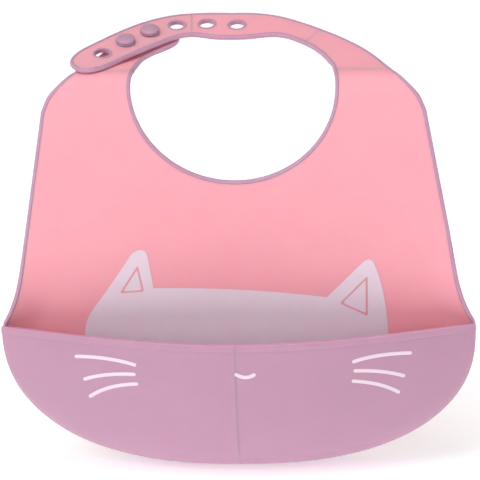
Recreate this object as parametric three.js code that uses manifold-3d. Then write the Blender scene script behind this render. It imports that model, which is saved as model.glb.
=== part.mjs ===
// A silicone baby bib: a chest sheet with a catch pocket and a neck loop that buttons at the back.
// Millimetres, +Z up, worn upright, front towards -Y. The origin is the middle of the neck loop.
import * as THREE from 'three';
import { mergeVertices } from 'three/addons/utils/BufferGeometryUtils.js';
import Module from 'manifold-3d';

// Sheet and edges
const SHEET = 2.0;              // thickness of the silicone sheet
const BEAD_WIDTH = 2.2;         // width of the round edge bead, across the sheet
const BEAD_HEIGHT = 2.6;        // thickness of the edge bead
const GAP = 0.3;                // clearance between neighbouring pieces
const PANEL_FRONT_Y = -30;      // front face of the flat chest sheet
const NECKLINE_Z = -56;         // lowest point of the neck opening

// Shoulder fold, measured from the neckline and the front face
const FOLD_START_Z = 43.5;      // the sheet leaves the vertical here
const FOLD_RADIUS = 11;
const FOLD_ANGLE = THREE.MathUtils.degToRad(76);
const SHOULDER_Y = 10;          // the straps start here, behind the front face

// Neck opening and outline
const NECK_HALF_WIDTH = 50.5;
const NECK_DROP = 49;           // from the neck's widest line down to the neckline
const NECK_CENTRE_RUN = NECK_DROP - FOLD_START_Z;
const WAIST_HALF_WIDTH = 101;   // half width at the neckline's height
const SIDE_TAPER = 0.165;
const FLARE = 5.0;              // extra half width at the pocket's corners
const FLARE_START_Z = -40;
const LIP_Z = -72;              // height of the pocket's lip
const CORNER_HALF_WIDTH = 117.9;
const POCKET_DEPTH_Z = 75;      // from the lip down to the lowest point
const OUTLINE_POWER = 2.54;

// Pocket
const CORNER_LIP_Y = -12;       // the lip's ends, in front of the chest sheet
const LIP_REACH = 28;           // how much further forward the lip's middle stands
const PROFILE_POWER = 2.6;
const CORNER_CURL = 9.5;        // how far the chest sheet's edge curls forward at the corners
const CURL_BAND = 22;
const CURL_TOP_Z = -22;
const CURL_BOTTOM_Z = -125;
const LIP_HEIGHT = 3;
const LIP_EXTRA = 1;            // the lip is this much thicker than the wall
const FRONT_HALF_WIDTH = 46;    // the pocket's front panel ends here
const FLANK_HALF_WIDTH = 86;    // the flanks end here, where the fixed corners start
const MOVING_CLEARANCE = 2;     // from the chest sheet to the moving walls' lower ends
const FIXED_CLEARANCE = 0.7;
const END_TAPER = 7;            // the wall thins to half over this much of its ends
const FLAT_BAND = 14;           // the wall's inside turns square to its outside over this width
const FLAT_EXTRA = 0.05;        // share added to the wall's thickness where it is measured along Y

// Neck loop
const STRAP_LIFT = 2.8;         // rise of the hole strap's tip over the shoulder, and drop of the knob strap
const LINK_GAP = 0.6;           // slit between two links of the strap
const BEAD_GAP = 1.1;           // from a link's end to its beads
const RING_OUTER = 4.9;
const RING_INNER = 3.5;
const HOLE_RADIUS = 5.6;        // of the hole in the sheet, around its ring
const STEM_RADIUS = 3.0;
const HEAD_RADIUS = 4.8;
const HEAD_HEIGHT = 2.7;

// Printed cat face
const FILM = 0.25;              // thickness of the ink
const WHISKER_WIDTH = 1.9;
const EAR_LINE = 1.0;           // unprinted line around each inner ear

const PINK = 0xf7abb8;
const LILAC = 0xc595ab;
const INK = 0xe6d6e2;

const { clamp, smoothstep, lerp } = THREE.MathUtils;
const wasm = await Module();
wasm.setup();

// ---------------------------------------------------------------- solids

// Moves a point from the neckline and front-face measure to the object's own origin.
function placed(x, y, z) {
  return new THREE.Vector3(x, y + PANEL_FRONT_Y, z + NECKLINE_Z);
}

function signedVolume(points, faces) {
  const cross = new THREE.Vector3();
  return faces.reduce((sum, [a, b, c]) => sum + cross.crossVectors(points[b], points[c]).dot(points[a]) / 6, 0);
}

// A closed mesh with its faces turned outwards.
function closedGeometry(points, faces) {
  const outward = signedVolume(points, faces) > 0 ? faces : faces.map(([a, b, c]) => [a, c, b]);
  const geometry = new THREE.BufferGeometry();
  geometry.setAttribute('position', new THREE.Float32BufferAttribute(points.flatMap((p) => p.toArray()), 3));
  geometry.setIndex(outward.flat());
  geometry.computeVertexNormals();
  return geometry;
}

// A closed solid between two equal grids of points, face[i][j] and back[i][j].
function shell(face, back) {
  const rows = face.length;
  const columns = face[0].length;
  const points = [...face.flat(), ...back.flat()];
  const front = (i, j) => i * columns + j;
  const rear = (i, j) => rows * columns + front(i, j);
  const faces = [];
  const quad = (a, b, c, d) => faces.push([a, b, c], [a, c, d]);
  for (let i = 0; i < rows - 1; i += 1) {
    for (let j = 0; j < columns - 1; j += 1) {
      quad(front(i, j), front(i, j + 1), front(i + 1, j + 1), front(i + 1, j));
      quad(rear(i, j), rear(i + 1, j), rear(i + 1, j + 1), rear(i, j + 1));
    }
    quad(front(i, 0), front(i + 1, 0), rear(i + 1, 0), rear(i, 0));
    quad(front(i, columns - 1), rear(i, columns - 1), rear(i + 1, columns - 1), front(i + 1, columns - 1));
  }
  for (let j = 0; j < columns - 1; j += 1) {
    quad(front(0, j), rear(0, j), rear(0, j + 1), front(0, j + 1));
    quad(front(rows - 1, j), front(rows - 1, j + 1), rear(rows - 1, j + 1), rear(rows - 1, j));
  }
  return closedGeometry(points, faces);
}

// A round bead swept along a line of {point, down}, where down goes through the sheet beside it.
// Growth widens it all round and past its ends, to cut its room out of a neighbour.
const BEAD_SIDES = 6;
function sweptBead(line, growth = 0) {
  const points = [];
  const faces = [];
  const stations = line.map(({ point, down }, i) => {
    const ahead = line[Math.min(i + 1, line.length - 1)].point;
    const behind = line[Math.max(i - 1, 0)].point;
    const along = ahead.clone().sub(behind).normalize();
    const overrun = (i === line.length - 1 ? 1 : 0) - (i === 0 ? 1 : 0);
    return {
      point: point.clone().addScaledVector(along, overrun * growth * 4),
      down,
      across: along.clone().cross(down).normalize(),
    };
  });
  stations.forEach(({ point, across, down }) => {
    for (let k = 0; k < BEAD_SIDES; k += 1) {
      const turn = (k / BEAD_SIDES) * 2 * Math.PI;
      points.push(point.clone()
        .addScaledVector(across, (BEAD_WIDTH / 2 + growth) * Math.cos(turn))
        .addScaledVector(down, (BEAD_HEIGHT / 2 + growth) * Math.sin(turn)));
    }
  });
  const last = (stations.length - 1) * BEAD_SIDES;
  for (let i = 0; i < stations.length - 1; i += 1) {
    for (let k = 0; k < BEAD_SIDES; k += 1) {
      const next = (k + 1) % BEAD_SIDES;
      const [here, ahead] = [i * BEAD_SIDES, (i + 1) * BEAD_SIDES];
      faces.push([here + k, here + next, ahead + next], [here + k, ahead + next, ahead + k]);
    }
  }
  for (let k = 1; k < BEAD_SIDES - 1; k += 1) {
    faces.push([0, k + 1, k], [last, last + k, last + k + 1]);
  }
  return closedGeometry(points, faces);
}

function toManifold(geometry) {
  const bare = geometry.clone();
  bare.deleteAttribute('normal');
  bare.deleteAttribute('uv');
  const merged = mergeVertices(bare, 1e-4);
  return new wasm.Manifold(new wasm.Mesh({
    numProp: 3,
    vertProperties: new Float32Array(merged.attributes.position.array),
    triVerts: new Uint32Array(merged.index.array),
  }));
}

function fromManifold(solid) {
  const { vertProperties, triVerts } = solid.getMesh();
  const geometry = new THREE.BufferGeometry();
  geometry.setAttribute('position', new THREE.Float32BufferAttribute(vertProperties, 3));
  geometry.setIndex([...triVerts]);
  geometry.computeVertexNormals();
  return geometry;
}

// Cuts tools out of a solid and keeps the largest part, without the slivers beyond a bead.
function cutFrom(geometry, tools) {
  const solid = tools.reduce((rest, tool) => rest.subtract(toManifold(tool)), toManifold(geometry));
  const largest = solid.decompose().reduce((best, part) => (part.volume() > best.volume() ? part : best));
  return fromManifold(largest);
}

// ---------------------------------------------------------------- sheet surfaces

// The folded chest sheet: run is measured up its front face from the start of the shoulder fold.
function foldedPoint(x, run) {
  const angle = clamp(run / FOLD_RADIUS, 0, FOLD_ANGLE);
  const beyond = Math.max(0, run - FOLD_RADIUS * FOLD_ANGLE);
  const y = FOLD_RADIUS * (1 - Math.cos(angle)) + beyond * Math.sin(FOLD_ANGLE);
  const z = FOLD_START_Z + Math.min(run, 0) + FOLD_RADIUS * Math.sin(angle) + beyond * Math.cos(FOLD_ANGLE);
  return {
    point: placed(x, y - cornerCurl(x, z), z),
    down: new THREE.Vector3(0, Math.cos(angle), -Math.sin(angle)),
  };
}

const SHOULDER_FOLD_Y = FOLD_RADIUS * (1 - Math.cos(FOLD_ANGLE));
const SHOULDER_FOLD_Z = FOLD_START_Z + FOLD_RADIUS * Math.sin(FOLD_ANGLE);
const SHOULDER_RUN = FOLD_RADIUS * FOLD_ANGLE + (SHOULDER_Y - SHOULDER_FOLD_Y) / Math.sin(FOLD_ANGLE);
const STRAP_DOWN = new THREE.Vector3(0, Math.cos(FOLD_ANGLE), -Math.sin(FOLD_ANGLE));

// The outline's half width at a height: straight sides, a flare at the lip and a full round bottom.
function halfWidthAt(z) {
  if (z > LIP_Z) {
    const flare = clamp((FLARE_START_Z - z) / (FLARE_START_Z - LIP_Z), 0, 1);
    return WAIST_HALF_WIDTH - SIDE_TAPER * z + FLARE * flare ** 3;
  }
  const drop = clamp((LIP_Z - z) / POCKET_DEPTH_Z, 0, 1);
  return CORNER_HALF_WIDTH * (1 - drop ** OUTLINE_POWER) ** (1 / OUTLINE_POWER);
}

// How far the chest sheet curls forward, near its edges and around the lip's ends only.
function cornerCurl(x, z) {
  if (z > CURL_TOP_Z || z < CURL_BOTTOM_Z) return 0;
  const rise = z > LIP_Z ? smoothstep(CURL_TOP_Z - z, 0, CURL_TOP_Z - LIP_Z)
    : smoothstep(z - CURL_BOTTOM_Z, 0, LIP_Z - CURL_BOTTOM_Z);
  const inside = clamp((halfWidthAt(z) - Math.abs(x)) / CURL_BAND, 0, 1);
  return CORNER_CURL * rise * (1 - inside) ** 2;
}

// The right half of the outline as (x, run): 0 at the shoulder, 1 at the lowest point.
const BEAD_START = 0.01;          // the beads stop just short of the straps
const SHOULDER_END = 0.2;
const CORNER_END = 0.55;
const SHOULDER_CURVE = new THREE.CatmullRomCurve3([
  new THREE.Vector3(78.2, SHOULDER_RUN, 0),
  new THREE.Vector3(85.4, 8.2, 0),
  new THREE.Vector3(91.4, 1, 0),
  new THREE.Vector3(halfWidthAt(FOLD_START_Z - 7), -7, 0),
]);
function outlineAt(s) {
  if (s <= SHOULDER_END) {
    const { x, y } = SHOULDER_CURVE.getPoint(s / SHOULDER_END);
    return new THREE.Vector2(x, y);
  }
  if (s <= CORNER_END) {
    const z = lerp(FOLD_START_Z - 7, LIP_Z, (s - SHOULDER_END) / (CORNER_END - SHOULDER_END));
    return new THREE.Vector2(halfWidthAt(z), z - FOLD_START_Z);
  }
  const turn = ((s - CORNER_END) / (1 - CORNER_END)) * (Math.PI / 2);
  const x = CORNER_HALF_WIDTH * Math.cos(turn) ** (2 / OUTLINE_POWER);
  const z = LIP_Z - POCKET_DEPTH_Z * Math.sin(turn) ** (2 / OUTLINE_POWER);
  return new THREE.Vector2(Math.max(x, 0), z - FOLD_START_Z);
}

// The outline drawn in by an inset, for the sheet inside its edge bead.
function insetOutline(s, inset) {
  const step = 0.004;
  const before = outlineAt(Math.max(0, s - step));
  const after = outlineAt(Math.min(1, s + step));
  const along = after.sub(before).normalize();
  const inward = new THREE.Vector2(along.y, -along.x);
  return outlineAt(s).addScaledVector(inward, inset);
}

// The right half of the neck opening's edge, drawn out by an inset.
function neckAt(s, inset) {
  const top = Math.asin((SHOULDER_RUN - NECK_CENTRE_RUN) / (NECK_DROP + inset));
  const stops = [[0, top], [SHOULDER_END, -0.04], [CORNER_END, -0.84], [1, -Math.PI / 2]];
  const upper = stops.findIndex(([stop]) => s <= stop);
  const [s1, a1] = stops[Math.max(upper, 1)];
  const [s0, a0] = stops[Math.max(upper, 1) - 1];
  const angle = lerp(a0, a1, (s - s0) / (s1 - s0));
  return new THREE.Vector2(
    Math.max(0, (NECK_HALF_WIDTH + inset) * Math.cos(angle)),
    NECK_CENTRE_RUN + (NECK_DROP + inset) * Math.sin(angle),
  );
}

// Stations down the right half and up the left half, from shoulder to shoulder.
function aroundStations(count, first = 0) {
  const half = Array.from({ length: count + 1 }, (_, i) => lerp(first, 1, i / count));
  const right = half.map((s) => ({ s, side: 1 }));
  const left = half.slice(0, -1).reverse().map((s) => ({ s, side: -1 }));
  return [...right, ...left];
}

// ---------------------------------------------------------------- chest sheet

const CHEST_ROWS = [0, 0.25, 0.5, 0.7, 0.84, 0.93, 1];

function chestSheet() {
  const face = [];
  const back = [];
  aroundStations(32).forEach(({ s, side }) => {
    const inner = neckAt(s, BEAD_WIDTH / 2);
    const outer = insetOutline(s, BEAD_WIDTH / 2);
    if (s === 0) outer.y = inner.y;
    const samples = CHEST_ROWS.map((t) => foldedPoint(side * lerp(inner.x, outer.x, t), lerp(inner.y, outer.y, t)));
    face.push(samples.map(({ point }) => point));
    back.push(samples.map(({ point, down }) => point.clone().addScaledVector(down, SHEET)));
  });
  return shell(face, back);
}

// The middle line of a bead along an edge given as (x, run) on the folded sheet.
function beadLine(edgeAt, count) {
  return aroundStations(count, BEAD_START).map(({ s, side }) => {
    const centre = edgeAt(s, BEAD_WIDTH / 2);
    const { point, down } = foldedPoint(side * centre.x, centre.y);
    return { point: point.addScaledVector(down, SHEET / 2), down };
  });
}

// ---------------------------------------------------------------- pocket

function lipY(x) {
  return CORNER_LIP_Y - LIP_REACH * Math.cos((Math.PI * x) / (2 * CORNER_HALF_WIDTH));
}

function wallHeightAt(x) {
  const across = clamp(Math.abs(x) / CORNER_HALF_WIDTH, 0, 1);
  return POCKET_DEPTH_Z * (1 - across ** OUTLINE_POWER) ** (1 / OUTLINE_POWER);
}

function seamY(x) {
  return -cornerCurl(x, LIP_Z - wallHeightAt(x));
}

// A point on the pocket wall's outside: turn is 0 at the lip and a quarter turn at the seam.
function wallPoint(x, turn) {
  const depth = Math.cos(turn) ** (2 / PROFILE_POWER);
  const drop = Math.sin(turn) ** (2 / PROFILE_POWER);
  const seam = seamY(x);
  return placed(x, seam + (lipY(x) - seam) * depth, LIP_Z - wallHeightAt(x) * drop);
}

// The outside's height-based form, for prints: y of the wall at (x, z).
function wallY(x, z) {
  const drop = clamp((LIP_Z - z) / wallHeightAt(x), 0, 1);
  const seam = seamY(x);
  return seam + (lipY(x) - seam) * (1 - drop ** PROFILE_POWER) ** (1 / PROFILE_POWER);
}

function wallNormal(x, turn) {
  const step = 0.01;
  const low = Math.max(turn - step, 0.0005);
  const alongX = wallPoint(x + step, turn).sub(wallPoint(x - step, turn));
  const down = wallPoint(x, low + 2 * step).sub(wallPoint(x, low));
  return alongX.cross(down).normalize().negate();
}

// The wall between two half widths: columns of x, rows from the lip to just above the seam.
function pocketWall(xs, clearance) {
  const face = [];
  const back = [];
  xs.forEach((x) => {
    const height = wallHeightAt(x);
    const seam = seamY(x);
    const lipTurn = Math.asin((LIP_HEIGHT / height) ** (PROFILE_POWER / 2));
    const kneeTurn = Math.asin(((LIP_HEIGHT + 1) / height) ** (PROFILE_POWER / 2));
    const reach = seam - lipY(x);
    const lastTurn = Math.acos((clearance / reach) ** (PROFILE_POWER / 2));
    const rest = Array.from({ length: 8 }, (_, i) => lerp(kneeTurn, lastTurn, i / 7));
    const turns = [0, lipTurn, ...rest];
    const planar = 1 - smoothstep(Math.abs(x), FLANK_HALF_WIDTH, FLANK_HALF_WIDTH + FLAT_BAND);
    const slim = lerp(0.5, 1, smoothstep(CORNER_HALF_WIDTH - Math.abs(x), 0, END_TAPER));
    const column = turns.map((turn) => wallPoint(x, turn));
    const inner = turns.map((turn, row) => {
      const inward = wallNormal(x, Math.min(turn, lastTurn)).negate();
      const flat = inward.clone().setX(0).normalize();
      const way = inward.lerp(flat, planar).normalize();
      const stretch = 1 + planar * FLAT_EXTRA;
      const thick = (row < 2 ? SHEET + LIP_EXTRA : SHEET) * slim * stretch;
      const point = column[row].clone().addScaledVector(way, thick);
      if (turn === 0) point.z = column[row].z;
      return point;
    });
    face.push(column);
    back.push(inner);
  });
  return shell(face, back);
}

function evenSteps(from, to, count) {
  return Array.from({ length: count + 1 }, (_, i) => lerp(from, to, i / count));
}

// Columns of the fixed corner, closer together towards its end.
function cornerSteps(side) {
  const first = Math.acos(((FLANK_HALF_WIDTH + GAP / 2) / CORNER_HALF_WIDTH) ** (OUTLINE_POWER / 2));
  return evenSteps(first, 0.1, 9).map((turn) => side * CORNER_HALF_WIDTH * Math.cos(turn) ** (2 / OUTLINE_POWER));
}

// ---------------------------------------------------------------- neck loop

// The hole strap's middle line in plan, from the right shoulder round the back to its tip.
const LOOP_LINE = new THREE.CatmullRomCurve3([
  [63.8, SHOULDER_Y], [59.3, 18], [42.4, 36.8], [20.8, 49.6], [-3.9, 50.6], [-30, 50.4], [-78.7, 9],
].map(([x, y]) => new THREE.Vector3(x, y, 0)));
// The knob strap's middle line, from the left shoulder to its tip.
const KNOB_LINE = new THREE.CatmullRomCurve3([
  [-63.8, SHOULDER_Y], [-59.8, 18], [-53.6, 31.8], [-42.7, 41.6], [-29.5, 47.6],
].map(([x, y]) => new THREE.Vector3(x, y, 0)));

const SHOULDER_HALF = 14.45;    // half widths of the straps
const NARROW_HALF = 7.3;
const HOLES_HALF = 11.2;
const WAIST_HALF = 9.6;
const TIP_HALF = 10.1;
const KNOB_HALF = 10;
const TIP_LENGTH = 14;
const LOOP_LENGTH = LOOP_LINE.getLength();
const LINK_ENDS = { shoulder: 0, holes: 72 / LOOP_LENGTH, tip: 119 / LOOP_LENGTH, end: 1 };

// Half width of a strap that narrows from the shoulder over a length.
function narrowed(distance, length, half) {
  return lerp(half, SHOULDER_HALF, (1 - clamp(distance / length, 0, 1)) ** 2);
}

function holeStrapHalf(distance) {
  const wide = lerp(narrowed(distance, 47, NARROW_HALF), HOLES_HALF, smoothstep(distance, 50, 80));
  const waist = lerp(wide, WAIST_HALF, smoothstep(distance, 88, 106));
  return lerp(waist, TIP_HALF, smoothstep(distance, 110, 130));
}

const knobStrapHalf = (distance) => narrowed(distance, 36, KNOB_HALF);

// Each strap's top lies on the sloping plane behind the shoulders, the hole strap over the knob strap.
function strapTop(x, y, lift) {
  const slope = (y - SHOULDER_FOLD_Y) / Math.tan(FOLD_ANGLE);
  return placed(x, y, SHOULDER_FOLD_Z + slope + lift);
}
const holeStrapLift = (x) => STRAP_LIFT * (1 - smoothstep(x, -75, -20));
const knobStrapLift = (x, y) => -STRAP_LIFT * smoothstep(y, 11, 30);

const STRAPS = {
  hole: { side: 1, line: LOOP_LINE, half: holeStrapHalf, lift: holeStrapLift },
  knob: { side: -1, line: KNOB_LINE, half: knobStrapHalf, lift: knobStrapLift },
};

// A point on the strap's top at u along it, this far outward from its middle line.
// Where it leaves the shoulder the strap is ruled along X, so that it meets the fold squarely.
function strapPoint(strap, u, offset) {
  const centre = strap.line.getPointAt(u);
  const along = strap.line.getTangentAt(u);
  const square = new THREE.Vector3(strap.side, 0, 0);
  const outward = new THREE.Vector3(along.y, -along.x, 0).multiplyScalar(strap.side);
  centre.addScaledVector(square.lerp(outward, smoothstep(u, 0, 0.15)).normalize(), offset);
  return strapTop(centre.x, centre.y, strap.lift(centre.x, centre.y));
}

// Stations (u, half width) along a link; a tip's half width closes as a rounded end.
function linkStations(strap, from, to, rounded, count) {
  const length = strap.line.getLength();
  const roundStart = rounded ? to - TIP_LENGTH / length : to;
  const straight = evenSteps(from, roundStart, count).map((u) => ({ u, half: strap.half(u * length) }));
  if (!rounded) return straight;
  const full = strap.half(roundStart * length);
  const round = evenSteps(0, 1.45, 6).slice(1).map((turn) => ({
    u: roundStart + (TIP_LENGTH / length) * Math.sin(turn),
    half: full * Math.cos(turn) ** 0.8,
  }));
  return [...straight, ...round];
}

function strapLink(strap, from, to, rounded = false, count = 9) {
  const face = [];
  const back = [];
  const slit = LINK_GAP / 2 / strap.line.getLength();
  const end = rounded ? to - (BEAD_WIDTH / 2) / strap.line.getLength() : to - slit;
  linkStations(strap, from + slit, end, rounded, count).forEach(({ u, half }) => {
    const reach = Math.max(half - BEAD_WIDTH / 2, 0.6);
    const row = [-1, -0.5, 0, 0.5, 1].map((side) => strapPoint(strap, u, side * reach));
    face.push(row);
    back.push(row.map((point) => point.clone().addScaledVector(STRAP_DOWN, SHEET)));
  });
  return shell(face, back);
}

// The middle line of one edge bead, side -1 for the inner edge and 1 for the outer one.
function edgeLine(strap, from, to, side, rounded = false, count = 9) {
  const slit = BEAD_GAP / strap.line.getLength();
  const end = rounded ? to - (BEAD_WIDTH / 2) / strap.line.getLength() : to - slit;
  return linkStations(strap, from + slit, end, rounded, count).map(({ u, half }) => {
    const offset = Math.max(half - BEAD_WIDTH / 2, 0.6);
    return {
      point: strapPoint(strap, u, side * offset).addScaledVector(STRAP_DOWN, SHEET / 2),
      down: STRAP_DOWN,
    };
  });
}

// One line down the inner edge, round the tip and back along the outer edge.
function tipLine(strap, from) {
  const inner = edgeLine(strap, from, 1, -1, true);
  const outer = edgeLine(strap, from, 1, 1, true);
  return [...inner, ...outer.reverse()];
}

// The rings from the middle of the back to the tip; the two that hold knobs are named for them.
const FIRST_HOLE = 81.0;        // along the strap from the shoulder
const HOLE_PITCH = 15.2;
const RINGS = ['ring_hole_5', 'ring_hole_4', 'ring_hole_3', 'ring_knob_2', 'ring_knob_1', 'ring_hole_1'];

function holeTop(name) {
  return strapPoint(STRAPS.hole, (FIRST_HOLE + HOLE_PITCH * RINGS.indexOf(name)) / LOOP_LENGTH, 0);
}

// Turns a round piece made upright so that its foot faces down through the strap.
const STRAP_TILT = new THREE.Quaternion().setFromUnitVectors(new THREE.Vector3(0, 0, -1), STRAP_DOWN);

function holeDrill(name) {
  const { x, y, z } = holeTop(name);
  return new THREE.CylinderGeometry(HOLE_RADIUS, HOLE_RADIUS, 12, 20)
    .rotateX(Math.PI / 2).applyQuaternion(STRAP_TILT).translate(x, y, z);
}

function holeRing() {
  const half = BEAD_HEIGHT / 2;
  const profile = [
    [RING_INNER, -half + 0.7], [RING_INNER + 0.6, -half], [RING_OUTER - 0.4, -half], [RING_OUTER, 0],
    [RING_OUTER - 0.4, half], [RING_INNER + 0.6, half], [RING_INNER, half - 0.7], [RING_INNER, -half + 0.7],
  ].map(([r, z]) => new THREE.Vector2(r, z));
  return new THREE.LatheGeometry(profile, 18).rotateX(Math.PI / 2);
}

// A mushroom knob: base, stem and a head that rests on the ring, for two straps this far apart.
function knob(spread) {
  const headZ = spread + (BEAD_HEIGHT - SHEET) / 2 + GAP;
  const profile = [
    [0, GAP], [HEAD_RADIUS, GAP], [HEAD_RADIUS - 0.2, GAP + 0.5], [STEM_RADIUS, GAP + 0.6],
    [STEM_RADIUS, headZ], [HEAD_RADIUS - 0.3, headZ], [HEAD_RADIUS, headZ + 0.5], [HEAD_RADIUS, headZ + 1.4],
    [HEAD_RADIUS - 0.8, headZ + 2.3], [2, headZ + HEAD_HEIGHT], [0, headZ + HEAD_HEIGHT],
  ].map(([r, z]) => new THREE.Vector2(r, z));
  return new THREE.LatheGeometry(profile, 18).rotateX(Math.PI / 2);
}

// ---------------------------------------------------------------- printed face

function film(shape) {
  return new THREE.ExtrudeGeometry(shape, { depth: FILM, bevelEnabled: false, curveSegments: 8 })
    .rotateX(Math.PI / 2)
    .translate(0, PANEL_FRONT_Y - GAP, NECKLINE_Z);
}

// The two inner ears, as (x, z) corners.
const INNER_EARS = {
  left: [[-50, -45.2], [-47.6, -57.6], [-58.4, -58.3]],
  right: [[63.9, -51.4], [63.6, -71], [51, -64.7]],
};
const HEAD_LOW_Z = -100;

// A triangle drawn in evenly by an inset, or out by a negative one.
function shrunk(triangle, inset) {
  const [a, b, c] = triangle.map(([x, z]) => new THREE.Vector2(x, z));
  const sides = [a.distanceTo(b), b.distanceTo(c), c.distanceTo(a)];
  const around = sides[0] + sides[1] + sides[2];
  const area = Math.abs((b.x - a.x) * (c.y - a.y) - (c.x - a.x) * (b.y - a.y)) / 2;
  const centre = a.clone().multiplyScalar(sides[1]).addScaledVector(b, sides[2]).addScaledVector(c, sides[0])
    .divideScalar(around);
  const scale = 1 - inset / ((2 * area) / around);
  return [a, b, c].map((corner) => corner.sub(centre).multiplyScalar(scale).add(centre));
}

// The head from its lower right corner up over the right ear, along the brow and over the left ear.
function headPrint() {
  const shape = new THREE.Shape();
  shape.moveTo(74, HEAD_LOW_Z);
  shape.lineTo(74, -80);
  shape.bezierCurveTo(74, -69, 71.5, -54.5, 68.7, -46.3);
  shape.bezierCurveTo(67, -41, 65, -40.6, 62.3, -43.1);
  shape.lineTo(43.9, -61.6);
  shape.quadraticCurveTo(4, -56, -42.4, -56.2);
  shape.quadraticCurveTo(-43.4, -47.5, -44.9, -38.8);
  shape.bezierCurveTo(-45.6, -35.2, -50.2, -34.9, -53, -38.6);
  shape.lineTo(-66.5, -58.5);
  shape.bezierCurveTo(-73, -67.5, -77.2, -71, -77.4, -81);
  shape.lineTo(-77.4, HEAD_LOW_Z);
  Object.values(INNER_EARS).forEach((ear) => shape.holes.push(new THREE.Path(shrunk(ear, -EAR_LINE / 2))));
  return film(shape);
}

const earPrint = (ear) => film(new THREE.Shape(shrunk(ear, EAR_LINE / 2)));

// A stroke of ink on the pocket wall along a curve of (x, z).
function stroke(curve, count) {
  const face = [];
  const back = [];
  evenSteps(0, 1, count).forEach((t) => {
    const centre = curve.getPoint(t);
    const along = curve.getTangent(t);
    const sideways = new THREE.Vector2(-along.y, along.x).multiplyScalar(WHISKER_WIDTH / 2);
    const row = [-1, 1].map((side) => {
      const x = centre.x + side * sideways.x;
      const z = centre.y + side * sideways.y;
      const surface = placed(x, wallY(x, z), z);
      const acrossStep = placed(x + 0.5, wallY(x + 0.5, z), z).sub(surface);
      const upStep = placed(x, wallY(x, z + 0.5), z + 0.5).sub(surface);
      return { surface, outward: acrossStep.cross(upStep).normalize() };
    });
    back.push(row.map(({ surface, outward }) => surface.clone().addScaledVector(outward, GAP)));
    face.push(row.map(({ surface, outward }) => surface.clone().addScaledVector(outward, GAP + FILM)));
  });
  return shell(face, back);
}

// Each whisker as a curve of (x, z), from its outer end.
const WHISKERS = {
  left: [
    [[-80.7, -82.6], [-63.3, -80.5], [-49.3, -84.2]],
    [[-76.7, -94.7], [-65.6, -89.4], [-49.7, -89.1]],
    [[-74.2, -104.2], [-64.3, -95.5], [-48.7, -94.2]],
  ],
  right: [
    [[84.6, -82.2], [69.1, -80.3], [57.2, -83.9]],
    [[83, -94.6], [72.5, -89.5], [57.7, -88.5]],
    [[80.2, -103.5], [71.6, -96.2], [56.7, -93.9]],
  ],
};
const SMILE = [[-0.4, -86.5], [4.8, -90.7], [9.9, -86.8]];
const curveThrough = (points) => new THREE.QuadraticBezierCurve(...points.map(([x, z]) => new THREE.Vector2(x, z)));

// ---------------------------------------------------------------- the bib

const bib = new THREE.Group();

function addPiece(name, geometry, color, roughness = 0.55) {
  const material = new THREE.MeshStandardMaterial({ color, roughness, metalness: 0 });
  const mesh = new THREE.Mesh(geometry, material);
  mesh.name = name;
  bib.add(mesh);
  return mesh;
}

const edgeRun = beadLine(insetOutline, 36);
const neckRun = beadLine(neckAt, 18);
addPiece('chest_sheet', cutFrom(chestSheet(), [sweptBead(edgeRun, GAP), sweptBead(neckRun, GAP)]), PINK);
addPiece('edge_bead', sweptBead(edgeRun), LILAC);
addPiece('neck_bead', sweptBead(neckRun), LILAC);

addPiece('head_print', headPrint(), INK);

const frontEdge = FRONT_HALF_WIDTH - GAP / 2;
addPiece('pocket_front', pocketWall(evenSteps(-frontEdge, frontEdge, 8), MOVING_CLEARANCE), LILAC);
addPiece('smile_print', stroke(curveThrough(SMILE), 6), INK);
[['left', -1], ['right', 1]].forEach(([word, side]) => {
  const flank = evenSteps(FRONT_HALF_WIDTH + GAP / 2, FLANK_HALF_WIDTH - GAP / 2, 4).map((x) => side * x);
  addPiece(`pocket_flank_${word}`, pocketWall(flank, MOVING_CLEARANCE), LILAC);
  const corner = pocketWall(cornerSteps(side), FIXED_CLEARANCE);
  addPiece(`pocket_corner_${word}`, cutFrom(corner, [sweptBead(edgeRun, GAP)]), LILAC);
  WHISKERS[word].forEach((whisker, i) => addPiece(`whisker_${word}_${i + 1}`, stroke(curveThrough(whisker), 5), INK));
  addPiece(`ear_print_${word}`, earPrint(INNER_EARS[word]), INK);
});

// Each link of the neck loop: a sheet cut to fit its beads, the beads, and its holes.
function addLink(name, strap, from, to, holes = []) {
  const rounded = to === LINK_ENDS.end;
  const lines = rounded ? { rim: tipLine(strap, from) }
    : { inner: edgeLine(strap, from, to, -1), outer: edgeLine(strap, from, to, 1) };
  const tools = [...Object.values(lines).map((line) => sweptBead(line, GAP)), ...holes.map(holeDrill)];
  addPiece(name, cutFrom(strapLink(strap, from, to, rounded), tools), PINK);
  Object.entries(lines).forEach(([edge, line]) => addPiece(`${name}_bead_${edge}`, sweptBead(line), LILAC));
  holes.forEach((hole) => {
    const ring = addPiece(hole, holeRing(), LILAC);
    ring.position.copy(holeTop(hole)).addScaledVector(STRAP_DOWN, SHEET / 2);
    ring.quaternion.copy(STRAP_TILT);
  });
}

addLink('strap_shoulder', STRAPS.hole, LINK_ENDS.shoulder, LINK_ENDS.holes);
addLink('strap_holes', STRAPS.hole, LINK_ENDS.holes, LINK_ENDS.tip, RINGS.slice(0, 3));
addLink('strap_tip', STRAPS.hole, LINK_ENDS.tip, LINK_ENDS.end, RINGS.slice(3));
addLink('knob_strap', STRAPS.knob, 0, LINK_ENDS.end);

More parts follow.
